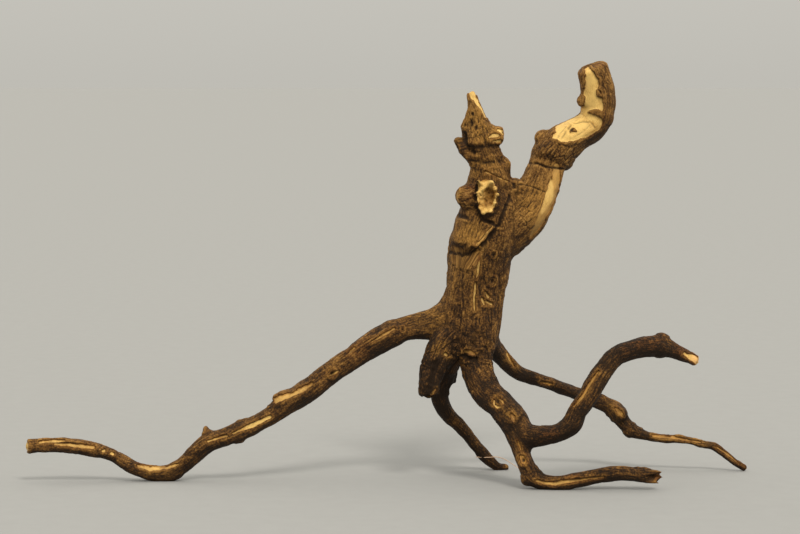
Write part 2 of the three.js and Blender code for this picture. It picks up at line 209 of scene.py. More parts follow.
# Peeled strips, seen from the front or the back: how pale the wood is, and points of x, z and half width.
FRONT, BACK = -1, 1
Peeled = namedtuple("Peeled", "limb side pale path")
PEELED = {
    ("hook", FRONT): [
        (1.0, [(134.5, 287, 2.5), (142, 287.5, 6), (150, 291, 9), (159, 295, 10.5), (166, 298, 9)]),
        (1.0, [(139, 292, 4), (150, 299, 5), (158, 306, 5)]),
        (1.0, [
            (162, 342, 2.4), (165.5, 331, 5.6), (164.6, 325, 6), (166.8, 318.5, 6.8), (167.5, 312, 7.8),
            (166.5, 306, 8),
        ]),
        (0.66, [
            (131.5, 252, 1), (131.3, 244, 3.2), (129.8, 235, 4.2), (126.2, 227, 2.8), (124, 222.5, 0.8),
        ]),
        (0.4, [
            (136.5, 262, 2.4), (135.5, 250, 4), (133, 239, 5), (127, 226, 4.4), (120, 212, 3.4),
            (115, 203, 1.2),
        ]),
    ],
    ("left_root", FRONT): [
        (0.54, [(-97, 69, 2.2), (-89, 72, 1.9), (-81.5, 74.5, 1.5), (-74, 78.5, 1.8), (-67, 83, 1.1)]),
        (0.9, [(-101.5, 55.5, 1.3), (-116.5, 48.5, 1.8), (-132, 41.5, 0.9)]),
        (0.8, [(-137.5, 39.5, 0.8), (-144.5, 37.5, 1.2), (-153, 35, 0.7)]),
        (0.58, [(-248, 29.5, 1.2), (-259, 31, 1.6), (-268.5, 32.3, 1.3), (-279, 33, 0.8)]),
        (0.7, [(-272, 35.2, 0.5), (-281, 35.5, 1), (-292, 34.5, 0.8)]),
        (0.8, [(-303, 34.5, 1.6), (-303, 28.5, 1.8)]),
        (0.5, [(-17, 117.4, 0.6), (-8, 122.5, 1.1), (1, 127.5, 0.8)]),
        (0.45, [(-37, 107.5, 0.6), (-32, 112, 1)]),
        (0.6, [(-51.5, 90, 0.7), (-48, 92, 1.1), (-45, 93.5, 0.6)]),
        (0.6, [(-212, 14, 0.8), (-202, 11, 1.8), (-188.5, 12, 1.2), (-178, 15, 0.6)]),
        (0.9, [(-240, 26.5, 1.1), (-239, 26.5, 1.1)]),
        (0.9, [(-233, 24.5, 1.1), (-232, 24, 1.1)]),
    ],
    ("trunk", FRONT): [
        (0.8, [(71.5, 189, 0.6), (70.7, 181, 1.1), (69.8, 173, 1.2), (69, 169.5, 0.5)]),
        (0.8, [(68, 166, 0.6), (67.5, 158, 1), (67, 150, 0.9), (67.5, 143, 0.5)]),
        (0.5, [(66, 188, 0.4), (65.5, 178, 0.7)]),
        (0.9, [(76, 158.5, 0.7), (79, 154, 1.2)]),
        (0.9, [(77, 150.5, 1.2), (82, 147.5, 1)]),
        (0.8, [(73.5, 152.5, 0.9), (75.5, 148, 0.9)]),
    ],
    ("front_root", FRONT): [
        (0.8, [(83, 71, 0.6), (83.2, 67.5, 0.8), (86, 65.5, 0.8), (88.5, 66, 0.4)]),
        (0.7, [(87.5, 72, 0.5), (90, 70.2, 0.8), (90.5, 68.5, 0.4)]),
    ],
    ("foot", FRONT): [
        (0.55, [(116.5, 8, 0.8), (123.5, 6, 1.4), (132, 5.5, 1.5), (141.5, 7.5, 1.4), (171, 11.5, 0.6)]),
        (0.3, [(99, 52, 0.9), (102, 40, 1.2), (104, 33, 0.8)]),
        (0.2, [(105.5, 26, 2.2), (106.5, 23, 2.2)]),
    ],
    ("", FRONT): [
        (0.3, [(97, 60.5, 1), (98, 58, 1.7), (98.5, 56, 0.8)]),
        (0.35, [(59.5, 109, 1), (63.5, 109, 1.4), (67, 107.5, 1)]),
        (0.7, [(43, 107.5, 1.2), (44.5, 106, 1.2)]),
        (0.55, [(82.5, 213, 0.7), (78.5, 208.5, 1.1), (74.7, 203.5, 1.1), (69, 198, 0.9)]),
    ],
    ("crown", FRONT): [
        (0.9, [(65, 326, 3.4), (66, 320, 2.8), (69.5, 315, 1.4), (72.5, 310, 1), (77, 303, 0.8)]),
        (0.85, [(79, 286, 0.8), (83, 287.5, 1.6), (87, 287.5, 1.2)]),
        (0.9, [(86.5, 292, 0.8), (90, 290.5, 1.7), (93, 287.5, 1.3)]),
        (0.75, [(82, 282.5, 0.8), (88, 283.5, 1.2)]),
        (0.6, [(76, 257.5, 0.6), (84, 254, 0.8), (94.5, 249, 0.6)]),
    ],
    ("burl", FRONT): [
        (0.5, [(53.5, 242.5, 0.7), (52.5, 237, 1.2), (53.5, 233, 0.7)]),
        (0.4, [(56, 230.5, 0.6), (59, 229, 0.9)]),
    ],
    ("broken_stub", FRONT): [
        (0.3, [(35.5, 79, 0.4), (33, 74, 1.2), (28.5, 69.5, 1)]),
    ],
    ("raised_root", FRONT): [
        (0.9, [(239, 109, 1.1), (245, 106, 2.6), (252, 101.5, 3.4)]),
        (0.4, [(167, 97, 0.5), (160, 87, 0.9), (153.5, 76.5, 0.9), (147, 68.5, 0.4)]),
    ],
    ("right_root", FRONT): [
        (0.45, [(96, 103.5, 0.6), (98.5, 97.5, 1), (102, 92, 0.6)]),
        (0.4, [(125.5, 77, 0.9), (134.5, 75, 0.9)]),
        (0.35, [(190, 53.5, 0.8), (193.5, 50, 2), (196, 46.5, 0.8)]),
        (0.35, [(222, 29.5, 0.5), (240, 28.5, 1), (262, 25, 0.5)]),
        (0.4, [(275, 21.5, 0.5), (285, 15, 0.9), (295, 7, 0.6)]),
    ],
    ("hook", BACK): [
        (0.9, [(124, 232, 1.2), (129, 246, 2.6), (132, 257, 1)]),
        (0.9, [(150, 290, 2), (161, 298, 4), (168, 310, 5), (167, 324, 4.5), (163, 336, 3)]),
    ],
    ("left_root", BACK): [
        (0.7, [(-20, 112, 0.8), (-40, 100, 1.8), (-58, 88, 0.8)]),
        (0.8, [(-110, 52, 0.7), (-128, 43, 1.7), (-142, 37, 0.8)]),
        (0.7, [(-240, 26, 0.7), (-262, 31, 1.6), (-285, 33, 0.8)]),
    ],
    ("trunk", BACK): [
        (0.5, [(72, 205, 0.6), (66, 180, 1.4), (62, 160, 0.6)]),
        (0.4, [(84, 180, 0.5), (82, 160, 0.9), (80, 146, 0.5)]),
    ],
    ("raised_root", BACK): [
        (0.5, [(190, 112, 0.7), (206, 116, 1.5), (220, 116, 0.7)]),
    ],
    ("foot", BACK): [
        (0.6, [(150, 9, 0.6), (170, 13, 1.3), (188, 14, 0.6)]),
    ],
    ("right_root", BACK): [
        (0.5, [(130, 77, 0.6), (150, 69, 1.3), (166, 62, 0.6)]),
    ],
    ("back_root", BACK): [
        (0.5, [(46, 52, 0.6), (60, 36, 1.3), (70, 24, 0.6)]),
    ],
    ("crown", BACK): [
        (0.9, [(65, 326, 3), (67, 315, 2), (70, 303, 1)]),
    ],
}
# Bark left standing on peeled wood.
BARK_LEFT = [
    Peeled("hook", FRONT, 0, [(147.5, 290, 0.8), (150, 291.5, 1.7), (152.5, 290.5, 0.8)]),
    Peeled("hook", FRONT, 0, [(163, 306, 0.8), (168.5, 306.5, 2.4), (175, 304, 3.2), (181, 300, 4.5)]),
    Peeled("hook", FRONT, 0, [(170, 324.5, 1.2), (171, 320.5, 1.4), (176, 319.5, 1.4)]),
]
# Wood bared at cut and torn ends: x, y, z, reach, how pale.
BARE_ENDS = [
    (-304.5, -24, 30.5, 6.5, 1.0), (253, -31.5, 101.8, 8, 0.9), (64.6, -9, 327, 6, 1.0),
    (216, -60.5, 11.5, 8, 0.35), (303, 45, 1.8, 4, 0.5), (30, -26, 67, 9, 0.4), (48, 20, 71, 6, 0.2),
]
# Raised folds and sunk creases, the creases painted darker as shade: height, softness, then points of x, z
# and half width. No limb means any.
Fold = namedtuple("Fold", "limb side height soft path")
FOLDS = [
    Fold("", FRONT, 1.8, 1.3, [
        (83, 213, 0.3), (78.5, 208.5, 0.7), (74.7, 203.5, 0.8), (69, 198, 0.6), (60, 195.5, 0.3),
    ]),
    Fold("crown", FRONT, 1.5, 2.2, [(60, 281, 0.5), (71, 282, 0.8), (88, 283, 0.6)]),
    Fold("crown", FRONT, 0.9, 1.3, [(64, 271.5, 0.4), (75, 269, 0.5), (88, 270.5, 0.4)]),
    Fold("crown", FRONT, 0.9, 1.3, [(64, 263, 0.4), (76, 260, 0.5), (90, 262, 0.4)]),
    Fold("crown", FRONT, 1.0, 0.7, [(76, 257.5, 0.3), (84, 254, 0.4), (94.5, 249, 0.3)]),
    Fold("crown", FRONT, -0.8, 1.2, [(60, 277, 0.4), (71, 277.5, 0.5), (88, 278.5, 0.4)]),
    Fold("crown", FRONT, -1.0, 0.9, [(63, 267, 0.3), (75, 264.5, 0.4), (90, 266, 0.3)]),
    Fold("", FRONT, -2.4, 1.3, [
        (100, 246, 0.4), (96, 234, 0.6), (91, 224, 0.6), (88, 214, 0.5), (86, 205, 0.2),
    ]),
    Fold("", FRONT, -2.0, 1.2, [
        (50, 222, 0.5), (63, 219.5, 0.6), (72, 219, 0.6), (82, 215, 0.5), (87, 211, 0.2),
    ]),
    Fold("", FRONT, -1.6, 1.1, [(69.5, 249, 0.4), (67.5, 238, 0.5), (69, 228, 0.4), (72, 221, 0.3)]),
    Fold("", FRONT, -1.3, 1.0, [(46, 190, 0.5), (58, 189, 0.6), (67, 192, 0.5), (73, 197.5, 0.3)]),
    Fold("hook", FRONT, -0.9, 0.6, [
        (103, 246, 0.2), (109, 246.5, 0.3), (116, 244.5, 0.3), (126, 240.5, 0.1),
    ]),
    Fold("hook", FRONT, -1.2, 0.7, [
        (113, 263.5, 0.3), (120, 264, 0.3), (127, 261, 0.3), (134, 260, 0.3), (144, 258.5, 0.3),
    ]),
    Fold("hook", FRONT, 0.4, 1.8, [
        (113, 266, 0.3), (120, 266.5, 0.5), (127, 264, 0.5), (134, 263, 0.5), (144, 262, 0.3),
    ]),
    Fold("", FRONT, -2.0, 1.2, [(59, 290, 0.3), (59.5, 283, 0.5), (63, 276.5, 0.4), (67, 273, 0.2)]),
    Fold("", FRONT, -2.6, 1.6, [(87, 212, 0.3), (81.5, 206.5, 0.6), (78, 201.5, 0.6), (73, 196, 0.5)]),
    Fold("hook", FRONT, -0.9, 0.7, [(140, 284.5, 0.3), (143.5, 290, 0.4), (148, 295.5, 0.2)]),
    Fold("hook", FRONT, -0.6, 0.5, [(151, 297, 0.1), (158, 299, 0.3), (165, 298, 0.3), (169, 292.5, 0.1)]),
    Fold("hook", FRONT, -0.5, 0.5, [(154, 287, 0.1), (160, 291.5, 0.3), (164, 295.5, 0.1)]),
    Fold("hook", FRONT, -0.5, 0.5, [(137, 286, 0.2), (139.5, 290, 0.3), (144, 294, 0.1)]),
    Fold("", FRONT, -1.8, 1.5, [(57, 105, 0.4), (62, 104.5, 0.6), (69, 102.5, 0.4)]),
    Fold("broken_stub", FRONT, -2.2, 2.6, [(35, 100, 0.4), (31.5, 86, 1.2), (29.5, 74, 1.6)]),
    Fold("trunk", FRONT, -0.8, 0.6, [(50, 179.5, 0.2), (58, 180.5, 0.3), (65, 180, 0.1)]),
    Fold("trunk", FRONT, -0.7, 0.7, [(76, 181, 0.1), (79, 172, 0.2), (77, 160, 0.1)]),
    Fold("trunk", FRONT, -0.8, 0.7, [(88, 172, 0.1), (88.5, 158, 0.3), (86, 146, 0.1)]),
    Fold("trunk", FRONT, -0.8, 0.7, [(58, 172, 0.1), (57, 158, 0.2), (59, 144, 0.1)]),
    Fold("left_root", FRONT, -0.6, 0.6, [(-12, 124, 0.1), (-30, 113, 0.2), (-44, 103, 0.1)]),
    Fold("left_root", FRONT, -0.3, 0.6, [(-258, 32.5, 0.1), (-270, 33.8, 0.2), (-284, 35, 0.1)]),
    Fold("trunk", BACK, -1.0, 0.8, [(90, 196, 0.2), (89, 176, 0.3), (84, 154, 0.2)]),
    Fold("hook", BACK, -1.1, 0.8, [(116, 262, 0.3), (128, 263, 0.3), (142, 259, 0.3)]),
    Fold("", BACK, -2.0, 1.3, [(99, 246, 0.4), (95, 232, 0.6), (92, 218, 0.5), (90, 206, 0.2)]),
    Fold("crown", BACK, -1.2, 1.1, [(60, 276, 0.4), (72, 277, 0.5), (88, 278, 0.4)]),
]
# Knot scars, with painted shade in their pits: limb, side, x, z, radius.
SCARS = [
    ("trunk", FRONT, 82, 167, 4.2), ("trunk", FRONT, 83, 189, 3), ("left_root", FRONT, -50.5, 91.5, 4.2),
    ("front_root", FRONT, 86, 70, 4.2), ("foot", FRONT, 106, 24.5, 4.4), ("hook", FRONT, 148.5, 291.5, 4.6),
    ("left_root", FRONT, 8, 127, 2.4), ("trunk", BACK, 60, 196, 5),
    ("hook", BACK, 110, 226, 4.5), ("left_root", BACK, -75, 75, 3.6), ("raised_root", BACK, 160, 82, 3.6),
]
# Small pits, with painted shade in them: x, y, z, radius, depth.
PITS = [
    (65, -15, 305, 1.6, 1.8), (63.5, -16, 297.5, 2.6, 2.4), (68, -18.5, 294, 1.8, 2),
    (58.5, -12, 296, 1.5, 1.6), (129, 6, 270, 1.3, 1.2), (92, -9, 290, 1.6, 1.4),
    (72, -18, 300, 1.2, 1.2), (122, 10, 277, 1.2, 1.1),
]
# Torn edges: centre, reach, the way the splinters stand, their height and how broad they are.
TORN = [
    ((78, -25, 235), 15, (0, -1, 0), 2.0, 4.0), ((212, -60.5, 11.5), 11, (1, 0, 0), 3.0, 2.4),
    ((28, -22, 71), 11, (0.1, -0.2, -1), 1.2, 4.5), ((48, 23, 77), 9, (0, 0, -1), 1.0, 3.5),
    ((63, -18, 193), 18, (0, -0.3, -1), 1.6, 5.0),
]
# Where the bark is redder, and where it is more golden: x, y, z, reach, share.
REDDISH = [
    (155, 13, 330, 16, 0.8), (64, -16, 240, 11, 0.9), (93, -10, 297, 7, 0.7), (145, -60, 12, 9, 0.9),
    (128, -60, 44, 13, 0.6), (200, -40, 118, 30, 0.5), (236, -34, 110, 14, 0.7), (50, 16, 100, 20, 0.4),
    (128, 0, 222, 14, 0.7), (298, 45, 5, 14, 0.5), (250, -33, 103, 14, 0.9), (-30, -14, 112, 18, 0.4),
    (170, 12, 352, 12, 0.8),
]
GOLDEN = [
    (66, -20, 205, 18, 1.0), (85, -12, 290, 14, 1.0), (-195, -14, 10, 20, 0.4), (120, -2, 232, 24, 0.8),
    (98, -48, 60, 9, 0.9), (100, 26, 95, 16, 0.5), (190, 55, 50, 14, 0.6), (180, -58, 90, 20, 0.4),
    (76, -12, 262, 18, 0.6), (56, -12, 175, 20, 0.4), (106, -55, 24, 8, 0.7), (45, -22, 108, 8, 0.7),
    (66, -14, 300, 14, 1.0), (54, -14, 238, 9, 1.0), (74, -17, 289, 14, 1.0),
    (53, -12, 285, 8, 0.9), (97, -2, 264, 7, 0.9), (40, -22, 112, 11, 0.9), (245, 44, 29, 36, 0.7),
    (86, -40, 70, 9, 0.6), (30, -6, 136, 22, 0.5),
]

# Colours, as linear red, green and blue.
# The darkest bark colour is also the colour of the painted shade.
BARK_DARK_AND_SHADE = (0.0175, 0.0080, 0.0022)
BARK_MID = (0.088, 0.0375, 0.0080)
BARK_LIGHT = (0.202, 0.093, 0.0195)
BARK_PALE = (0.392, 0.206, 0.052)
BARK_RED = (0.153, 0.047, 0.012)
BARK_GOLD = (0.300, 0.148, 0.028)
INNER_BARK = (0.170, 0.064, 0.013)
WOOD_PALE = (0.850, 0.560, 0.175)
WOOD_DEEP = (0.495, 0.248, 0.052)
WOOD_ROSY = (0.930, 0.490, 0.200)
FIBRE_PALE = (0.620, 0.420, 0.280)
FLOOR_PALE = (0.340, 0.340, 0.335)
HORIZON = 0.52
ZENITH = 1.40
SKY_COLOUR = (1.0, 0.972, 0.885, 1.0)
SUN_COLOUR = (1.0, 0.95, 0.86)
SUN_STRENGTH = 1.6
SUN_SPREAD = math.radians(14)
SUN_FROM = Vector((0.5, -1.35, 1.55))

# Camera: 2.2 m away, 4 degrees above the horizontal, aimed at a point of the root.
AIM = Vector((0.0058, 0.003, 0.1776))
CAMERA_AWAY = 2.2
CAMERA_RISE = math.radians(4)
PICTURE_WIDTH = 800
SENSOR_WIDTH = 36
PIXEL_SIZE = 0.0008333  # metres across a pixel at the aim point


# Smooth noise

def smoothstep(low, high, value):
    share = np.clip((value - low) / (high - low), 0, 1)
    return share * share * (3 - 2 * share)


def lattice(cells, seed):
    """A repeatable number from 0 to 1 for each whole-numbered cell."""
    x, y, z = (cells[..., axis].astype(np.uint32) for axis in range(3))
    mixed = x * np.uint32(374761393) + y * np.uint32(668265263) + z * np.uint32(2147483647 - 61)
    mixed = mixed + np.uint32(seed * 974711)
    mixed = (mixed ^ (mixed >> np.uint32(13))) * np.uint32(1274126177)
    mixed = (mixed ^ (mixed >> np.uint32(15))) * np.uint32(2246822519)
    return (mixed ^ (mixed >> np.uint32(16))).astype(np.float64) / 4294967295.0


def corner_pull(cells, offset, seed):
    """How much a lattice corner's own slope adds at an offset from it."""
    turn = lattice(cells, seed) * 2 * math.pi
    height = lattice(cells, seed + 17) * 2 - 1
    flat = np.sqrt(1 - height * height)
    return flat * (np.cos(turn) * offset[..., 0] + np.sin(turn) * offset[..., 1]) + height * offset[..., 2]


def noise(points, seed):
    """Smooth noise from about -1 to 1, one unit to a lump."""
    base = np.floor(points).astype(np.int64)
    inside = points - base
    ease = inside ** 3 * (inside * (inside * 6 - 15) + 10)
    total = np.zeros(len(points))
    for corner in np.ndindex(2, 2, 2):
        step = np.array(corner)
        weight = np.prod(np.where(step == 1, ease, 1 - ease), axis=1)
        total += weight * corner_pull(base + step, inside - step, seed)
    return total * 1.6


def layered(points, seed, layers=3):
    """Noise with finer layers on top of it."""
    return sum(noise(points * 2 ** i, seed + i) * 0.5 ** i for i in range(layers))


def ridged(points, seed):
    """Sharp crests and round valleys, from -1 to 1."""
    return 1 - 2 * np.abs(noise(points, seed))


def plates(points, seed):
    """How far a point lies from the crack round its plate, in plates, and the plate's own level."""
    base = np.floor(points).astype(np.int64)
    nearest = np.full(len(points), 9.0)
    second = np.full(len(points), 9.0)
    level = np.zeros(len(points))
    for corner in np.ndindex(3, 3, 3):
        cells = base + np.array(corner) - 1
        centre = cells + np.stack([lattice(cells, seed + axis) for axis in range(3)], axis=1)
        gap = np.linalg.norm(points - centre, axis=1)
        closer = gap < nearest
        second = np.where(closer, nearest, np.minimum(second, gap))
        level = np.where(closer, lattice(cells, seed + 5), level)
        nearest = np.minimum(nearest, gap)
    return second - nearest, level


# Limbs

class Limb:
    """A limb's axis as evenly spaced points, each with its radius and its frame."""

    def __init__(self, stations, phase=0.0, end=WORN_END, blend=1.0, step=1.5):
        self.phase, self.end, self.blend = phase, end, blend
        self.places, self.radii, self.along = even_curve(stations, step)
        self.tangents, self.normals, self.binormals = limb_frames(self.places)

    def lobes(self, angle, along):
        wind = along * LOBE_WIND + self.phase
        return 1 + TWO_LOBES * np.cos(2 * angle + wind) + THREE_LOBES * np.cos(3 * angle - 2 * wind)


def even_curve(stations, step):
    """Points and radii about one step apart on the smooth curve through the stations."""
    knots = np.array(stations, float)
    knots = np.vstack([2 * knots[0] - knots[1], knots, 2 * knots[-1] - knots[-2]])
    t = np.linspace(0, 1, 24, endpoint=False)[:, None]
    spans = []
    for before, start, stop, after in zip(knots, knots[1:], knots[2:], knots[3:]):
        leave, arrive = (stop - before) / 2, (after - start) / 2
        square = 3 * (stop - start) - 2 * leave - arrive
        cube = 2 * (start - stop) + leave + arrive
        spans.append(start + t * (leave + t * (square + t * cube)))
    fine = np.vstack(spans + [knots[-2:-1]])
    along = np.concatenate([[0], np.cumsum(np.linalg.norm(np.diff(fine[:, :3], axis=0), axis=1))])
    even = np.linspace(0, along[-1], max(4, round(along[-1] / step)) + 1)
    curve = np.stack([np.interp(even, along, fine[:, axis]) for axis in range(4)], axis=1)
    return curve[:, :3], curve[:, 3], even


def unit(vectors):
    return vectors / np.maximum(np.linalg.norm(vectors, axis=-1, keepdims=True), 1e-9)


def limb_frames(places):
    """Tangents, normals and binormals that don't twist along the axis."""
    tangents = unit(np.gradient(places, axis=0))
    least = np.eye(3)[np.argmin(np.abs(tangents[0]))]
    normal = np.cross(tangents[0], unit(np.cross(tangents[0], least)))
    normals = []
    for tangent in tangents:
        normal = unit(normal - tangent * (normal @ tangent))
        normals.append(normal)
    normals = np.array(normals)
    return tangents, normals, np.cross(tangents, normals)


def end_share(limb):
    """Share of the full radius along a limb, rounded off at its far end."""
    depth = limb.end * limb.radii[-1]
    missing = 1 - np.clip((limb.along[-1] - limb.along) / depth, 0, 1)
    return np.maximum(THIN_RING, np.sqrt(1 - missing * missing))


def tube(limb, sides=40):
    """A limb's closed mesh: its vertices, and its faces as lists of vertex numbers."""
    angles = np.arange(sides) * 2 * math.pi / sides
    lobes = limb.lobes(angles[None, :], limb.along[:, None])
    reach = (limb.radii * end_share(limb))[:, None] * lobes
    across = np.cos(angles)[None, :, None] * limb.normals[:, None, :]
    aside = np.sin(angles)[None, :, None] * limb.binormals[:, None, :]
    points = (limb.places[:, None, :] + reach[:, :, None] * (across + aside)).reshape(-1, 3)
    rows = len(limb.places)
    faces = [list(range(sides))[::-1], list(range((rows - 1) * sides, rows * sides))]
    for row in range(rows - 1):
        for side in range(sides):
            low, high = row * sides + side, row * sides + (side + 1) % sides
            faces.append([low, high, high + sides, low + sides])
    return points, faces


class Around:
    """Where points lie round a limb: how far outside its skin, how far along it and at which angle."""

    def __init__(self, limb, points, reach=14.0):
        margin = limb.radii.max() + reach
        low = limb.places.min(0) - margin
        high = limb.places.max(0) + margin
        self.which = np.flatnonzero(((points > low) & (points < high)).all(axis=1))
        near = points[self.which]
        nearest = np.concatenate([
            np.argmin(((chunk[:, None, :] - limb.places[None]) ** 2).sum(axis=2), axis=1)
            for chunk in np.array_split(near, max(1, len(near) // 8000))])
        offset = near - limb.places[nearest]
        slide = np.clip((offset * limb.tangents[nearest]).sum(axis=1), -1.5, 1.5)
        offset = offset - slide[:, None] * limb.tangents[nearest]
        self.along = limb.along[nearest] + slide
        self.radius = limb.radii[nearest]
        self.out = unit(offset)
        self.angle = np.arctan2(
            (offset * limb.binormals[nearest]).sum(axis=1), (offset * limb.normals[nearest]).sum(axis=1))
        self.outside = np.linalg.norm(offset, axis=1) - self.radius * limb.lobes(self.angle, self.along)


# Mesh of the wood

def mesh_object(name, points, faces):
    mesh = bpy.data.meshes.new(name)
    mesh.from_pydata((points * MM).tolist(), [], faces)
    mesh.update()
    made = bpy.data.objects.new(name, mesh)
    bpy.context.scene.collection.objects.link(made)
    return made


def apply_modifiers(target):
    """Keeps the shape that the object's modifiers give it and removes them."""
    graph = bpy.context.evaluated_depsgraph_get()
    baked = bpy.data.meshes.new_from_object(target.evaluated_get(graph))
    target.modifiers.clear()
    target.data = baked


def remesh(target, voxel):
    modifier = target.modifiers.new("even skin", "REMESH")
    modifier.mode = "VOXEL"
    modifier.voxel_size = voxel * MM
    modifier.use_smooth_shade = True
    apply_modifiers(target)


def vertices_of(target):
    points = np.empty(len(target.data.vertices) * 3)
    target.data.vertices.foreach_get("co", points)
    return points.reshape(-1, 3) / MM


def move_vertices(target, points):
    target.data.vertices.foreach_set("co", (points * MM).ravel())
    target.data.update()


def normals_of(target):
    normals = np.empty(len(target.data.vertices) * 3)
    target.data.vertex_normals.foreach_get("vector", normals)
    return normals.reshape(-1, 3)


def swell_forks(points, limbs):
    """Fills the forks: moves points out where several limbs' skins are near."""
    views = [Around(limb, points) for limb in limbs]
    least = np.full(len(points), np.inf)
    for view in views:
        least[view.which] = np.minimum(least[view.which], view.outside)
    total = np.zeros(len(points))
    blend = np.zeros(len(points))
    out = np.zeros((len(points), 3))
    for limb, view in zip(limbs, views):
        weight = np.exp(np.minimum(0, (least[view.which] - view.outside) / limb.blend))
        total[view.which] += weight
        blend[view.which] += weight * limb.blend
        out[view.which] += weight[:, None] * view.out
    total = np.maximum(total, 1e-9)
    steep = np.maximum(0.6, np.linalg.norm(out, axis=1) / total)
    swell = blend / total * np.log(np.maximum(total, 1)) / steep
    return points + unit(out) * swell[:, None]


def cut(target, stations):
    """Takes a limb-shaped hollow out of the wood."""
    points, faces = tube(Limb(stations))
    tool = mesh_object("hollow", points, faces)
    modifier = target.modifiers.new("hollow", "BOOLEAN")
    modifier.operation = "DIFFERENCE"
    modifier.solver = "MANIFOLD"
    modifier.object = tool
    apply_modifiers(target)
    bpy.data.objects.remove(tool)


def wood_mesh():
    """The joined limbs as one even mesh, with filled forks and with the hollows cut."""
    limbs = [Limb(b.stations, b.phase, b.end, b.blend) for b in BARKED]
    limbs += [Limb(FORK_WEB, 0.7), Limb(LEFT_FLARE, 2.2, blend=3.0)]
    limbs += [Limb(stations, i, blend=KNOT_BLEND, step=0.8) for i, stations in enumerate(KNOTS)]
    limbs += [Limb(stations, i, blend=SHARD_BLEND, step=0.8) for i, stations in enumerate(SHARDS)]
    points, faces, count = [], [], 0
    for limb in limbs:
        more, rings = tube(limb)
        faces += [[corner + count for corner in ring] for ring in rings]
        points.append(more)
        count += len(more)
    wood = mesh_object("dry_root_bark", np.vstack(points), faces)
    remesh(wood, SKETCH_VOXEL)
    move_vertices(wood, swell_forks(vertices_of(wood), limbs))
    cut(wood, CUP)
    cut(wood, PITH_HOLE)
    remesh(wood, FINE_VOXEL)
    return wood


# Relief and colour

def spots(points, places):
    """The largest share of a list of round spots at each point, fading towards each spot's edge."""
    share = np.zeros(len(points))
    for x, y, z, reach, height in places:
        gap = np.linalg.norm(points - (x, y, z), axis=1) / reach
        share = np.maximum(share, height * (1 - smoothstep(0.35, 1.0, gap)))
    return share


def stroke(points, path):
    """Distance outside a stroke drawn in the front view, through points of x, z and half width."""
    flat = points[:, [0, 2]]
    least = np.full(len(points), np.inf)
    for (x0, z0, w0), (x1, z1, w1) in zip(path, path[1:]):
        start, way = np.array((x0, z0)), np.array((x1 - x0, z1 - z0))
        share = np.clip(((flat - start) @ way) / (way @ way), 0, 1)
        gap = np.linalg.norm(flat - start - share[:, None] * way, axis=1)
        least = np.minimum(least, gap - (w0 + (w1 - w0) * share))
    return least


class Skin:
    """The wood's skin: its points, what limb each belongs to, and the grain there."""

    def __init__(self, wood):
        self.points = vertices_of(wood)
        self.normals = normals_of(wood)
        self.views = [Around(Limb(b.stations, b.phase, b.end), self.points, reach=30.0) for b in BARKED]
        self.weights = self.limb_weights()
        self.grain = self.grain_places()
        self.edge = layered(self.points / 4.5, 5) * 0.9 + noise(self.points / 1.9, 9) * 0.35
        self.streaks = noise(self.grain / (1.8, 1.8, 22), 13) + 0.6 * noise(self.grain / (1.1, 1.1, 9), 15)

    def limb_weights(self):
        """How much each limb's bark counts at each point."""
        weights = np.zeros((len(self.views), len(self.points)))
        for row, view in zip(weights, self.views):
            row[view.which] = np.exp(-np.clip(view.outside, -20, 40) / 2.4)
        return weights / np.maximum(weights.sum(axis=0), 1e-12)

    def grain_places(self):
        """Each point's place round and along its own limb, in millimetres."""
        grain = np.zeros((len(self.points), 3))
        strongest = self.weights.argmax(axis=0)
        for row, view in enumerate(self.views):
            mine = strongest[view.which] == row
            grain[view.which[mine]] = limb_places(view, row)[mine]
        return grain

    def on(self, name, side):
        """Share of each point that is on a limb, or on any limb, and faces a side."""
        facing = smoothstep(-0.15, 0.15, self.normals[:, 1] * side)
        if not name:
            return facing
        row = [b.name for b in BARKED].index(name)
        return smoothstep(0.2, 0.6, self.weights[row]) * facing

    def covered(self, mark):
        """Share of each point that a mark's stroke covers, and how far outside its edge the point lies."""
        width = max(half for _, _, half in mark.path)
        ragged = min(0.9, 0.15 + 0.3 * width)
        gap = stroke(self.points, mark.path) + (self.edge + 0.5 * self.streaks) * ragged
        return smoothstep(0.6, -0.5, gap) * self.on(mark.limb, mark.side), gap


def limb_places(view, row):
    """Points round and along a limb, each limb well away from the next."""
    around = view.radius * np.cos(view.angle), view.radius * np.sin(view.angle)
    return np.stack([*around, view.along], axis=1) + LIMB_APART * row


def bark_relief(skin):
    """Height of the bark's fibres, strands, plates and wrinkles."""
    height = np.zeros(len(skin.points))
    craggy = spots(skin.points, CRAGGY)
    wrinkled = spots(skin.points, WRINKLED)
    for row, (view, bark) in enumerate(zip(skin.views, BARKED)):
        weight = skin.weights[row][view.which]
        kept = weight > 0.01
        which, weight = view.which[kept], weight[kept]
        places = limb_places(view, row)[kept]
        places = places + noise(places / 14, 31)[:, None] * np.array([1.5, 1.5, 4.0])
        fibres = ridged(places / (4.2, 4.2, 34), 41) * 0.6 + ridged(places / (2.4, 2.4, 16), 43) * 0.5
        strands = noise(places / (9, 9, 60), 47)
        gap, level = plates(places / (7, 7, 11), 53)
        scales = smoothstep(0.0, 0.16, gap) - 0.9 + (level - 0.5) * 0.5
        fine_gap, fine_level = plates(places / (3.0, 3.0, 5), 57)
        scales += (smoothstep(0.0, 0.2, fine_gap) - 0.85) * 0.4 + (fine_level - 0.5) * 0.35
        here = bark.fibre * fibres + bark.strand * strands
        here += (bark.plate + craggy[which] * 0.8) * scales
        here += craggy[which] * noise(places / 7, 67) * 0.9
        here += wrinkled[which] * ridged(places / (16, 16, 4.2), 61) * 0.8
        height[which] += weight * here
    lumps = layered(skin.points / 24, 71, 2) * 0.8 + noise(skin.points / 9, 73) * 0.4
    return height + lumps


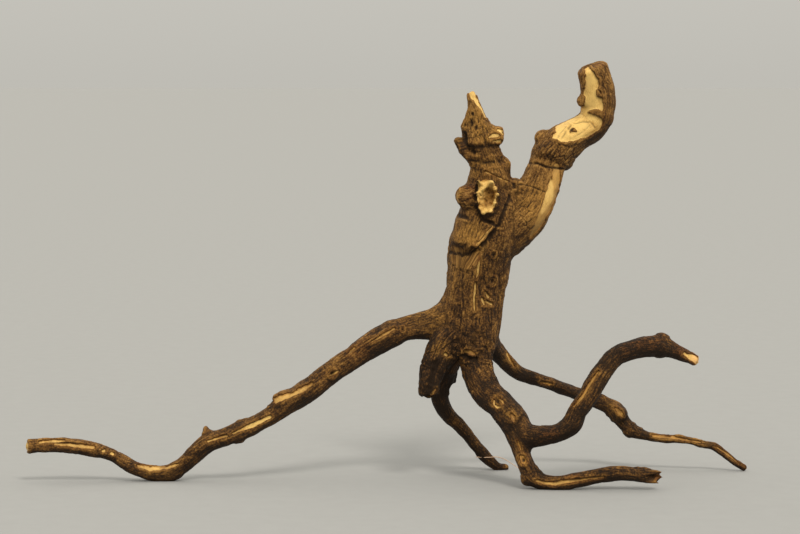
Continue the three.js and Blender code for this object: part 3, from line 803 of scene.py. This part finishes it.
def peel(skin, height):
    """Takes the bark off the peeled strips. Gives height, bare share, paleness and rim."""
    bare = np.zeros(len(skin.points))
    pale = np.zeros(len(skin.points))
    rim = np.zeros(len(skin.points))
    strips = [Peeled(limb, side, *strip) for (limb, side), found in PEELED.items() for strip in found]
    for mark in strips:
        share, gap = skin.covered(mark)
        bare = np.maximum(bare, share)
        pale = np.maximum(pale, share * mark.pale * (0.5 + 0.5 * smoothstep(0.4, -1.0, gap)))
        rim = np.maximum(rim, np.exp(-(((gap - 1.2) / 1.1) ** 2)) * skin.on(mark.limb, mark.side))
    for mark in BARK_LEFT:
        share, _ = skin.covered(mark)
        bare *= 1 - share
        rim = np.maximum(rim, share)
    wood = noise(skin.grain / (5, 5, 30), 83) * 0.25
    height = height * (1 - 0.8 * bare) + bare * (wood - BARK_DEPTH) + rim * (1 - bare) * 0.45
    return height, bare, pale, rim


def fold_and_scar(skin, height):
    """Draws the folds, creases, knot scars and pits. Gives height, painted shade in the creases and pits,
    and scarred share.
    """
    painted_crease_and_pit_shade = np.zeros(len(skin.points))
    scarred = np.zeros(len(skin.points))
    wander = noise(skin.points / 7, 19) * 1.1 + noise(skin.points / 3, 21) * 0.4
    broken = smoothstep(-0.9, 0.1, noise(skin.points / 6, 23))
    for fold in FOLDS:
        gap = np.maximum(stroke(skin.points, fold.path) + np.abs(wander) * 0.35 * fold.soft, 0)
        share = np.exp(-((gap / fold.soft) ** 2)) * skin.on(fold.limb, fold.side) * broken
        height = height + fold.height * share
        # Painted shade: sunk creases are darkened, the more the deeper they are; raised folds get the scar
        # colour.
        if fold.height < 0:
            painted_crease_and_pit_shade = np.maximum(painted_crease_and_pit_shade, share * min(1, 0.35 - 0.25 * fold.height))
        else:
            scarred = np.maximum(scarred, share * 0.6)
    for name, side, x, z, radius in SCARS:
        away = np.hypot(skin.points[:, 0] - x, (skin.points[:, 2] - z) * 0.85) / radius + skin.edge * 0.16
        on = skin.on(name, side)
        ring = np.exp(-(((away - 0.95) / 0.28) ** 2)) * on
        inner = np.exp(-(((away - 0.45) / 0.16) ** 2)) * on
        pit = np.exp(-((away / 0.3) ** 2)) * on
        height = height + 1.0 * ring + 0.35 * inner - 1.3 * pit
        scarred = np.maximum(scarred, np.maximum(ring * 0.9, inner * 0.6))
        # Painted shade in the scar's pit.
        painted_crease_and_pit_shade = np.maximum(painted_crease_and_pit_shade, pit)
    for x, y, z, radius, depth in PITS:
        away = np.linalg.norm(skin.points - (x, y, z), axis=1) / radius
        share = np.exp(-(away ** 2))
        height = height - depth * share
        # Painted shade in the pit.
        painted_crease_and_pit_shade = np.maximum(painted_crease_and_pit_shade, share)
    return height, painted_crease_and_pit_shade, scarred


def tear(points, normals):
    """Moves the torn ends' edges out into splinters."""
    moved = points.copy()
    for centre, reach, way, tall, broad in TORN:
        way = unit(np.array(way, float))
        away = points - centre
        side = away - (away @ way)[:, None] * way
        near = 1 - smoothstep(0.55, 1.0, np.linalg.norm(away, axis=1) / reach)
        near *= smoothstep(-0.35, 0.35, normals @ way + 0.2)
        spikes = noise((side + centre) / broad, 91) + 0.6 * noise((side + centre) / (broad * 0.45), 93)
        moved += (near * spikes * tall)[:, None] * way
    return moved


def cavity_of(wood, points, normals, rounds):
    """How far each point lies below the average of its neighbours, a few edges around."""
    edges = np.empty(len(wood.data.edges) * 2, dtype=np.int64)
    wood.data.edges.foreach_get("vertices", edges)
    first, second = edges.reshape(-1, 2).T
    count = np.bincount(edges, minlength=len(points))[:, None]
    smooth = points.copy()
    for _ in range(rounds):
        total = np.zeros_like(smooth)
        for axis in range(3):
            total[:, axis] = np.bincount(first, smooth[second, axis], len(points))
            total[:, axis] += np.bincount(second, smooth[first, axis], len(points))
        smooth = (smooth + total / count) / 2
    return ((smooth - points) * normals).sum(axis=1)


def store(wood, name, values):
    kind = "FLOAT_VECTOR" if values.ndim == 2 else "FLOAT"
    layer = wood.data.attributes.new(name, kind, "POINT")
    layer.data.foreach_set("vector" if values.ndim == 2 else "value", values.ravel().astype(np.float32))


# The torn cup: its outline as points of x, z and half width, and where its floor and its rim lie.
CUP_OUTLINE = [(76.4, 246, 8), (77.7, 239, 9.4), (77, 231, 7.2), (74.6, 225, 2.6)]
CUP_FLOOR = -18
CUP_RIM = -25
CUP_STARTS = -14
CUP_FULL = -17


def torn_cup(points):
    """Share of each point that is torn wood in the cup, and how near its rim the point is."""
    rim = smoothstep(CUP_FLOOR, CUP_RIM, points[:, 1])
    inside = stroke(points, CUP_OUTLINE) + 2.5 * (1 - rim)
    return smoothstep(0.8, -0.8, inside) * smoothstep(CUP_STARTS, CUP_FULL, points[:, 1]), rim


def carve(wood):
    """Raises the bark on the wood's mesh and stores what the material reads."""
    skin = Skin(wood)
    height = bark_relief(skin)
    height, bare, pale, rim = peel(skin, height)
    height, painted_crease_and_pit_shade, scarred = fold_and_scar(skin, height)
    points = tear(skin.points + skin.normals * height[:, None], skin.normals)
    points[:, 2] = np.maximum(points[:, 2], 0.0)
    move_vertices(wood, points)
    normals = normals_of(wood)
    fine = cavity_of(wood, points, normals, FINE_ROUNDS)
    broad = cavity_of(wood, points, normals, BROAD_ROUNDS)
    # Painted shade: hollows of the skin are darkened, the more the deeper they lie.
    hollow = smoothstep(0.03, 0.35, fine) * 0.7 + smoothstep(0.1, 1.4, broad) * 0.7
    # Painted highlight: crests of the skin are made lighter.
    painted_crest_highlight = smoothstep(0.03, 0.3, -fine) * 0.6 + smoothstep(0.1, 0.9, -broad) * 0.5
    ends = spots(points + skin.edge[:, None] * 0.8, BARE_ENDS)
    cup, cup_rim = torn_cup(points)
    # Painted shade: the creases and pits join the hollows' shade; peeled wood gets less of it and the torn
    # cup much less.
    hollow = np.maximum(hollow * (1 - 0.75 * bare), painted_crease_and_pit_shade) * (1 - 0.7 * cup)
    store(wood, "bare", np.clip(np.maximum(np.maximum(bare, cup), smoothstep(0.2, 0.6, ends)), 0, 1))
    store(wood, "pale", np.clip(np.maximum(np.maximum(pale, ends), cup * (0.25 + 0.75 * cup_rim)), 0, 1))
    store(wood, "scarred", np.clip(np.maximum(scarred, rim * 0.5), 0, 1))
    # Painted shade in the hollows, creases and pits.
    store(wood, "hollow", np.clip(hollow, 0, 1))
    # Painted light and shade: each limb's tone, lighter high up and darker low down.
    store(wood, "tone", np.array([b.tone for b in BARKED]) @ skin.weights)
    # Painted highlight on the crests.
    store(wood, "painted_crest_highlight", np.clip(painted_crest_highlight, 0, 1))
    store(wood, "reddish", spots(points, REDDISH))
    store(wood, "golden", spots(points, GOLDEN))
    # Painted shade: the downward-facing skin, which the material darkens as shade from below.
    store(wood, "painted_underside_shade", smoothstep(0.2, -0.9, normals[:, 2]))
    store(wood, "grain", skin.grain)


def thin_out(wood):
    """Merges faces where the skin is smooth, to keep the mesh at a fair size."""
    triangles = sum(len(face.vertices) - 2 for face in wood.data.polygons)
    modifier = wood.modifiers.new("fewer faces", "DECIMATE")
    modifier.ratio = min(1.0, MOST_FACES / triangles)
    apply_modifiers(wood)
    wood.data.shade_smooth()


# Materials

class Nodes:
    """Short calls for making a material's nodes."""

    def __init__(self, name):
        self.material = bpy.data.materials.new(name)
        self.material.use_nodes = True
        self.tree = self.material.node_tree
        self.shader = self.tree.nodes["Principled BSDF"]

    def link(self, value, socket):
        if isinstance(value, bpy.types.NodeSocket):
            self.tree.links.new(value, socket)
        else:
            socket.default_value = value

    def attribute(self, name):
        node = self.tree.nodes.new("ShaderNodeAttribute")
        node.attribute_name = name
        return node.outputs["Fac"] if name != "grain" else node.outputs["Vector"]

    def math(self, operation, first, second=0.0):
        node = self.tree.nodes.new("ShaderNodeMath")
        node.operation = operation
        self.link(first, node.inputs[0])
        self.link(second, node.inputs[1])
        return node.outputs[0]

    def range(self, value, low, high, to_low=0.0, to_high=1.0):
        node = self.tree.nodes.new("ShaderNodeMapRange")
        node.interpolation_type = "SMOOTHSTEP"
        for socket, number in zip(node.inputs, (value, low, high, to_low, to_high)):
            self.link(number, socket)
        return node.outputs[0]

    def stretched(self, vector, scale):
        node = self.tree.nodes.new("ShaderNodeVectorMath")
        node.operation = "MULTIPLY"
        self.link(vector, node.inputs[0])
        node.inputs[1].default_value = scale
        return node.outputs[0]

    def noise(self, vector, scale, detail=4.0, rough=0.55):
        node = self.tree.nodes.new("ShaderNodeTexNoise")
        self.link(vector, node.inputs["Vector"])
        node.inputs["Scale"].default_value = scale
        node.inputs["Detail"].default_value = detail
        node.inputs["Roughness"].default_value = rough
        return node.outputs["Fac"]

    def ramp(self, value, stops):
        node = self.tree.nodes.new("ShaderNodeValToRGB")
        elements = node.color_ramp.elements
        while len(elements) < len(stops):
            elements.new(0.5)
        for element, (place, colour) in zip(elements, stops):
            element.position = place
            element.color = (*colour, 1.0)
        self.link(value, node.inputs["Fac"])
        return node.outputs["Color"]

    def mix(self, share, first, second, blend="MIX"):
        node = self.tree.nodes.new("ShaderNodeMix")
        node.data_type = "RGBA"
        node.blend_type = blend
        self.link(share, node.inputs[0])
        self.link(first, node.inputs[6])
        self.link(second, node.inputs[7])
        return node.outputs[2]

    def bump(self, height, strength, distance):
        node = self.tree.nodes.new("ShaderNodeBump")
        node.inputs["Strength"].default_value = strength
        node.inputs["Distance"].default_value = distance
        self.link(height, node.inputs["Height"])
        self.link(node.outputs["Normal"], self.shader.inputs["Normal"])


def rgba(colour):
    return (*colour, 1.0)


def bark_material():
    """Dry bark over pale wood, with the shares stored on the mesh deciding where each shows, painted shade
    and painted highlights among them.
    """
    n = Nodes("dry_bark")
    grain = n.attribute("grain")
    # The hollow share is painted shade; the crest share is a painted highlight.
    bare, hollow, painted_crest_highlight = n.attribute("bare"), n.attribute("hollow"), n.attribute("painted_crest_highlight")
    along = n.stretched(grain, (1.0, 1.0, 0.16))
    fibres = n.noise(along, 0.75, 6, 0.62)
    fine_fibres = n.noise(along, 2.4, 4, 0.6)
    blotches = n.noise(grain, 0.07, 5, 0.6)
    grit = n.noise(grain, 0.7, 6, 0.68)

    tone = n.math("ADD", n.math("MULTIPLY", fibres, 0.60), n.math("MULTIPLY", grit, 0.72))
    tone = n.math("SUBTRACT", tone, 0.165)
    tone = n.math("ADD", tone, n.math("MULTIPLY", n.math("SUBTRACT", blotches, 0.5), 0.5))
    # Painted highlight: lighter bark on the crests.
    tone = n.math("ADD", tone, n.math("MULTIPLY", painted_crest_highlight, 0.12))
    # Painted light and shade: each limb's tone offset, lighter high up and darker low down.
    tone = n.math("ADD", tone, n.attribute("tone"))
    # Painted shade: the downward-facing skin is made darker.
    painted_underside_shade = n.attribute("painted_underside_shade")
    tone = n.math("SUBTRACT", tone, n.math("MULTIPLY", painted_underside_shade, 0.08))
    bark = n.ramp(tone, [(0.37, BARK_DARK_AND_SHADE), (0.49, BARK_MID), (0.58, BARK_LIGHT), (0.70, BARK_PALE)])
    red_share = n.math("MULTIPLY", n.attribute("reddish"), n.range(grit, 0.40, 0.58, 0.3, 0.9))
    bark = n.mix(red_share, bark, n.ramp(tone, [(0.37, BARK_DARK_AND_SHADE), (0.55, BARK_RED), (0.72, BARK_PALE)]))
    gold_share = n.math("MULTIPLY", n.attribute("golden"), n.range(fibres, 0.40, 0.58, 0.40, 0.95))
    bark = n.mix(gold_share, bark, n.ramp(tone, [(0.37, BARK_MID), (0.54, BARK_GOLD), (0.70, WOOD_DEEP)]))
    scar_share = n.math("MULTIPLY", n.attribute("scarred"), n.range(grit, 0.40, 0.58, 0.2, 0.9))
    bark = n.mix(scar_share, bark, n.ramp(fibres, [(0.40, INNER_BARK), (0.60, BARK_GOLD)]))

    wood_tone = n.math("ADD", n.math("MULTIPLY", fine_fibres, 0.45), n.math("MULTIPLY", blotches, 0.55))
    fresh = n.ramp(wood_tone, [(0.37, WOOD_DEEP), (0.53, WOOD_PALE)])
    worn = n.ramp(wood_tone, [(0.40, BARK_LIGHT), (0.60, WOOD_DEEP)])
    fresh = n.mix(n.math("POWER", n.attribute("reddish"), 6.0), fresh, rgba(WOOD_ROSY))
    wood = n.mix(n.range(n.attribute("pale"), 0.2, 0.9), worn, fresh)
    ragged = n.math("ADD", bare, n.math("MULTIPLY", n.math("SUBTRACT", grit, 0.5), 0.8))
    ragged = n.math("ADD", ragged, n.math("MULTIPLY", n.math("SUBTRACT", fibres, 0.5), 0.8))
    colour = n.mix(n.range(ragged, 0.16, 0.42), bark, rgba(INNER_BARK))
    colour = n.mix(n.range(ragged, 0.42, 0.68), colour, wood)
    # Painted shade: hollows, creases, pits and the downward-facing skin are mixed towards the darkest bark
    # colour.
    shade = n.range(n.math("ADD", hollow, n.math("MULTIPLY", painted_underside_shade, 0.6)), 0.0, 0.95, 0.0, 0.92)
    colour = n.mix(shade, colour, rgba(BARK_DARK_AND_SHADE))

    n.link(colour, n.shader.inputs["Base Color"])
    n.link(n.range(ragged, 0.3, 0.7, 0.72, 0.5), n.shader.inputs["Roughness"])
    n.shader.inputs["Specular IOR Level"].default_value = 0.22
    relief = n.math("ADD", n.math("MULTIPLY", fibres, 0.7), n.math("MULTIPLY", grit, 0.6))
    relief = n.math("MULTIPLY", relief, n.range(bare, 0.2, 0.7, 1.0, 0.25))
    relief = n.math("ADD", relief, n.math("MULTIPLY", fine_fibres, 0.18))
    n.bump(relief, 1.0, 0.0021)
    return n.material


def plain_material(name, colour, rough):
    n = Nodes(name)
    speckle = n.noise(n.tree.nodes.new("ShaderNodeTexCoord").outputs["Object"], 60, 3)
    dimmer = tuple(c * 0.97 for c in colour)
    n.link(n.ramp(speckle, [(0.3, dimmer), (0.7, colour)]), n.shader.inputs["Base Color"])
    n.shader.inputs["Roughness"].default_value = rough
    n.shader.inputs["Specular IOR Level"].default_value = 0.2
    return n.material


# Pieces

def root_piece():
    wood = wood_mesh()
    carve(wood)
    thin_out(wood)
    wood.data.materials.clear()
    wood.data.materials.append(bark_material())
    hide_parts("dry_root")
    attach(wood, "root")
    return wood


# A thin root hair that crosses the back root near its tip: x, y, z, radius.
HAIR = [
    (70.5, 44, 12.3, 0.32), (75, 43, 12.1, 0.32), (78, 43, 12, 0.32), (83, 43, 12.2, 0.32),
    (88, 44, 12.3, 0.32), (94, 43, 11, 0.3), (100, 41, 7.6, 0.3), (106, 39, 4, 0.28), (112, 37, 0.8, 0.26),
]


def hair_piece():
    hair = mesh_object("root_hair", *tube(Limb(HAIR, step=0.8), sides=8))
    hair.data.shade_smooth()
    hair.data.materials.append(plain_material("root_hair", FIBRE_PALE, 0.6))
    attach(hair, "root")


# Floor, light and camera

FLOOR_HALF = 150.0


def floor():
    corners = [(-1, -1, 0), (1, -1, 0), (1, 1, 0), (-1, 1, 0)]
    made = mesh_object("floor", np.array(corners, float) * FLOOR_HALF / MM, [[0, 1, 2, 3]])
    made.data.materials.append(plain_material("pale_floor", FLOOR_PALE, 0.9))


def look_from(target, place, aim):
    target.location = place
    target.rotation_mode = "QUATERNION"
    target.rotation_quaternion = (aim - place).to_track_quat("-Z", "Y")


def lights():
    """A soft sun from the upper right front, and a sky that is brighter overhead than at the horizon."""
    sun = bpy.data.lights.new("key", "SUN")
    sun.energy = SUN_STRENGTH
    sun.angle = SUN_SPREAD
    sun.color = SUN_COLOUR
    made = bpy.data.objects.new("key", sun)
    bpy.context.scene.collection.objects.link(made)
    look_from(made, SUN_FROM, Vector((0, 0, 0)))
    world = bpy.data.worlds.new("studio")
    world.use_nodes = True
    nodes, links = world.node_tree.nodes, world.node_tree.links
    place = nodes.new("ShaderNodeTexCoord")
    parts = nodes.new("ShaderNodeSeparateXYZ")
    rise = nodes.new("ShaderNodeMapRange")
    rise.inputs["To Min"].default_value = HORIZON
    rise.inputs["To Max"].default_value = ZENITH
    links.new(place.outputs["Generated"], parts.inputs[0])
    links.new(parts.outputs["Z"], rise.inputs["Value"])
    links.new(rise.outputs[0], nodes["Background"].inputs["Strength"])
    nodes["Background"].inputs["Color"].default_value = SKY_COLOUR
    bpy.context.scene.world = world


def camera():
    lens = bpy.data.cameras.new("camera")
    lens.sensor_width = SENSOR_WIDTH
    lens.lens = SENSOR_WIDTH * CAMERA_AWAY / (PIXEL_SIZE * PICTURE_WIDTH)
    made = bpy.data.objects.new("camera", lens)
    bpy.context.scene.collection.objects.link(made)
    back = Vector((0, -math.cos(CAMERA_RISE), math.sin(CAMERA_RISE)))
    look_from(made, AIM + back * CAMERA_AWAY, AIM)
    bpy.context.scene.camera = made


camera()
lights()
floor()
root_piece()
hair_piece()
bpy.context.scene.view_settings.view_transform = "Standard"
